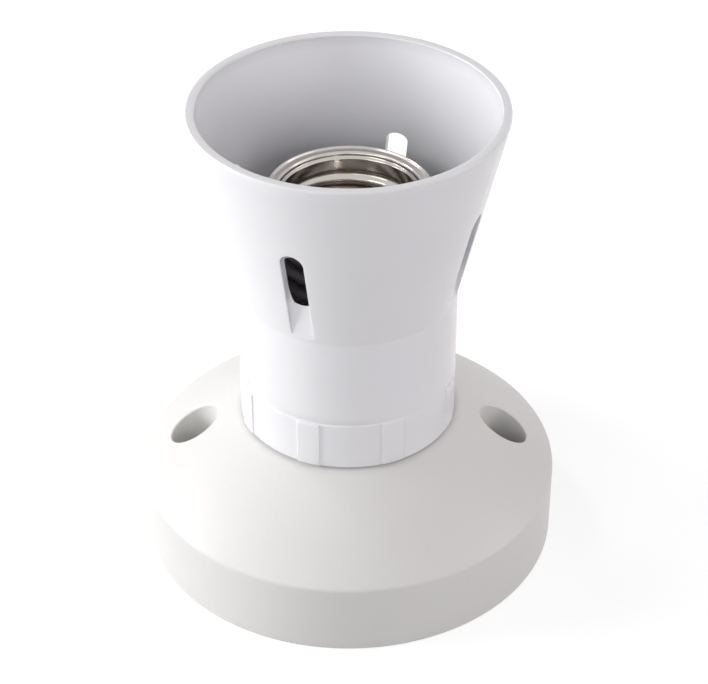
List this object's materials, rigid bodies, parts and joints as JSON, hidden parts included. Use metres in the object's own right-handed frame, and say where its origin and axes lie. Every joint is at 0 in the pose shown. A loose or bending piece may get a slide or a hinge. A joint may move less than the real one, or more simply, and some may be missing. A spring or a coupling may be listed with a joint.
{
  "type": "batten lamp holder",
  "caption": "Surface-mounted lamp holder for a screw-cap lamp: domed round base, slotted flared skirt, metal screw shell.",
  "frame": {"origin": "centre of the base's flat rear face, in the plane that meets the wall or ceiling", "axes": "+Z along the lamp's axis, out of the mouth; X through the two fixing wells; the picture looks along +Y and down"},
  "size_m": [0.08, 0.08, 0.0923],
  "materials": {
    "matte_white": "satin moulded plastic, slightly warm grey-white",
    "gloss_white": "glossy moulded plastic, slightly cool white",
    "insert_white": "heat-resistant white moulding, satin",
    "nickel": "bright nickel plate on rolled sheet",
    "bronze": "bright spring bronze",
    "brass": "bright brass",
    "steel": "zinc-plated steel"
  },
  "bodies": {
    "holder": {"base": "matte_white", "insert_body": "insert_white", "screw_shell": "nickel", "contact_rivet": "brass", "shell_rivet": "brass", "shell_screw_front": "steel", "shell_screw_back": "steel", "insert_screw_front": "steel", "insert_screw_back": "steel", "terminal_live": "brass", "terminal_loop": "brass", "terminal_neutral": "brass", "terminal_screw_live_1": "steel", "terminal_screw_live_2": "steel", "terminal_screw_loop_1": "steel", "terminal_screw_loop_2": "steel", "terminal_screw_neutral_1": "steel", "terminal_screw_neutral_2": "steel"},
    "skirt_body": {"skirt": "gloss_white"},
    "contact_body": {"centre_contact": "bronze"}
  },
  "joints": [
    {"name": "skirt_lift", "type": "slide", "parent": "holder", "child": "skirt_body", "axis": [0, 0, 1], "range_m": [0, 0.052]},
    {"name": "contact_spring", "type": "hinge", "parent": "holder", "child": "contact_body", "pos_m": [-0.008, 0, 0.0499], "axis": [0, 1, 0], "range_deg": [0, 7], "stiffness_Nm_per_rad": 0.2}
  ]
}
